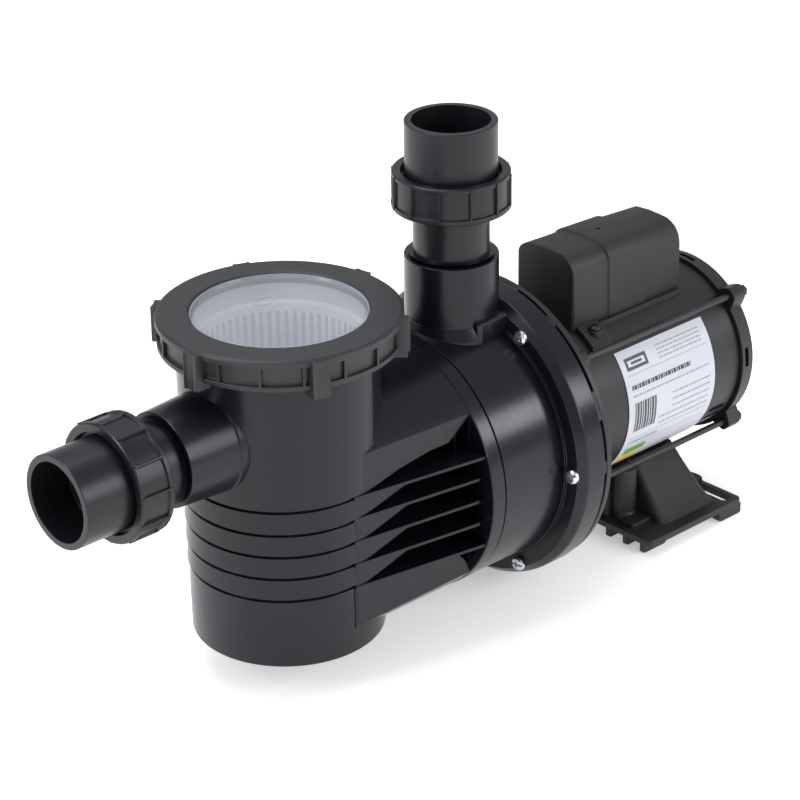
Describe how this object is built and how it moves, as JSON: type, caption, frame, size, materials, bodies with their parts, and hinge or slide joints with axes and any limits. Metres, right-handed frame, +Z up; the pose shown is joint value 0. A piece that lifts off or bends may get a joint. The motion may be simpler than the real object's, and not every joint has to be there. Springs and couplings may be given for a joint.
{
  "type": "pool pump",
  "caption": "Self-priming pool pump: strainer pot with screwed clear lid, volute with side fins, flanged motor on a foot, union couplings on suction and discharge.",
  "frame": {"origin": "centre of the bounding box in X and Y, on the floor that the motor foot and the flange stand on", "axes": "+X from the suction coupling to the motor along the pump axis, +Z up, -Y is the side with the rating label"},
  "size_m": [0.5602, 0.208, 0.3285],
  "materials": {
    "black_plastic": "injection-moulded, semi-gloss with soft streaks",
    "glass_filled_plastic": "glass-filled, satin",
    "matte_black_plastic": "fine moulded texture, matte",
    "painted_motor_metal": "black paint, satin",
    "blackened_steel": "black, satin",
    "zinc_steel": "bright zinc plated",
    "bearing_steel": "ground",
    "laminated_steel": "stacked sheets",
    "winding_copper": "enamelled copper wire",
    "rubber": "moulded",
    "ceramic": "lapped",
    "carbon": "lapped",
    "white_plastic": "moulded",
    "capacitor_case": "smooth",
    "clear_lens": "clear moulded plastic, slightly hazed",
    "label_film": null
  },
  "bodies": {
    "pump": {"pump_body": "black_plastic", "suction_nipple": "black_plastic", "discharge_nipple": "black_plastic", "diffuser": "glass_filled_plastic", "seal_seat": "ceramic", "seal_plate": "glass_filled_plastic", "body_oring": "rubber", "flange_screw_1": "zinc_steel", "flange_screw_2": "zinc_steel", "flange_screw_3": "zinc_steel", "flange_screw_4": "zinc_steel", "flange_screw_5": "zinc_steel", "flange_screw_6": "zinc_steel", "motor_front_shield": "painted_motor_metal", "stator_shell": "painted_motor_metal", "motor_rear_shield": "painted_motor_metal", "stator_core": "laminated_steel", "stator_winding": "winding_copper", "front_bearing_outer_race": "bearing_steel", "rear_bearing_outer_race": "bearing_steel", "tie_rod_1": "blackened_steel", "tie_rod_2": "blackened_steel", "tie_rod_3": "blackened_steel", "tie_rod_4": "blackened_steel", "capacitor_cover": "matte_black_plastic", "capacitor": "capacitor_case", "cover_screw_1": "blackened_steel", "cover_screw_2": "blackened_steel", "cable_gland": "matte_black_plastic", "rating_label": "label_film", "motor_foot": "matte_black_plastic", "foot_screw_1": "zinc_steel", "foot_screw_2": "zinc_steel"},
    "rotor": {"shaft": "bearing_steel", "rotor_core": "laminated_steel", "impeller": "glass_filled_plastic", "seal_head": "carbon", "seal_spring": "bearing_steel", "cooling_fan": "matte_black_plastic", "front_bearing_inner_race": "bearing_steel", "rear_bearing_inner_race": "bearing_steel"},
    "front_cage": {"front_bearing_balls": "bearing_steel"},
    "rear_cage": {"rear_bearing_balls": "bearing_steel"},
    "lid": {"lid_lens": "clear_lens", "lid_oring": "rubber"},
    "lid_ring": {"lid_ring": "black_plastic"},
    "basket": {"strainer_basket": "white_plastic"},
    "suction_tail": {"suction_tailpiece": "black_plastic", "suction_oring": "rubber"},
    "suction_nut": {"suction_nut": "black_plastic"},
    "discharge_tail": {"discharge_tailpiece": "black_plastic", "discharge_oring": "rubber"},
    "discharge_nut": {"discharge_nut": "black_plastic"},
    "drain_seal": {"drain_oring": "rubber"},
    "drain_plug": {"drain_plug": "black_plastic"}
  },
  "joints": [
    {"name": "rotor_spin", "type": "hinge", "parent": "pump", "child": "rotor", "pos_m": [0.0951, 0, 0.104], "axis": [1, 0, 0], "continuous": true},
    {"name": "front_cage_spin", "type": "hinge", "parent": "pump", "child": "front_cage", "pos_m": [0.1007, 0, 0.104], "axis": [1, 0, 0], "continuous": true},
    {"name": "rear_cage_spin", "type": "hinge", "parent": "pump", "child": "rear_cage", "pos_m": [0.2547, 0, 0.104], "axis": [1, 0, 0], "continuous": true},
    {"name": "lid_lift", "type": "slide", "parent": "pump", "child": "lid", "axis": [0, 0, 1], "range_m": [0, 0.3]},
    {"name": "lid_ring_turn", "type": "hinge", "parent": "lid", "child": "lid_ring", "pos_m": [-0.1049, 0, 0.232], "axis": [0, 0, 1], "range_deg": [0, 540]},
    {"name": "basket_lift", "type": "slide", "parent": "pump", "child": "basket", "axis": [0, 0, 1], "range_m": [0, 0.18]},
    {"name": "suction_pull", "type": "slide", "parent": "pump", "child": "suction_tail", "axis": [-1, 0, 0], "range_m": [0, 0.08]},
    {"name": "suction_nut_turn", "type": "hinge", "parent": "suction_tail", "child": "suction_nut", "pos_m": [-0.2339, 0, 0.1744], "axis": [-1, 0, 0], "range_deg": [0, 900]},
    {"name": "discharge_pull", "type": "slide", "parent": "pump", "child": "discharge_tail", "axis": [0, 0, 1], "range_m": [0, 0.08]},
    {"name": "discharge_nut_turn", "type": "hinge", "parent": "discharge_tail", "child": "discharge_nut", "pos_m": [0.0418, 0, 0.2827], "axis": [0, 0, 1], "range_deg": [0, 900]},
    {"name": "drain_travel", "type": "slide", "parent": "pump", "child": "drain_seal", "axis": [0, 1, 0], "range_m": [0, 0.0125]},
    {"name": "drain_turn", "type": "hinge", "parent": "drain_seal", "child": "drain_plug", "pos_m": [-0.1049, 0.07, 0.044], "axis": [0, 1, 0], "range_deg": [0, 1440]}
  ],
  "couplings": [
    {"joint": "front_cage_spin", "follows": "rotor_spin", "ratio": 0.412},
    {"joint": "rear_cage_spin", "follows": "rotor_spin", "ratio": 0.412},
    {"joint": "basket_lift", "follows": "lid_lift", "ratio": 0.6},
    {"joint": "drain_travel", "follows": "drain_turn", "m_per_rad": 0.000477}
  ]
}
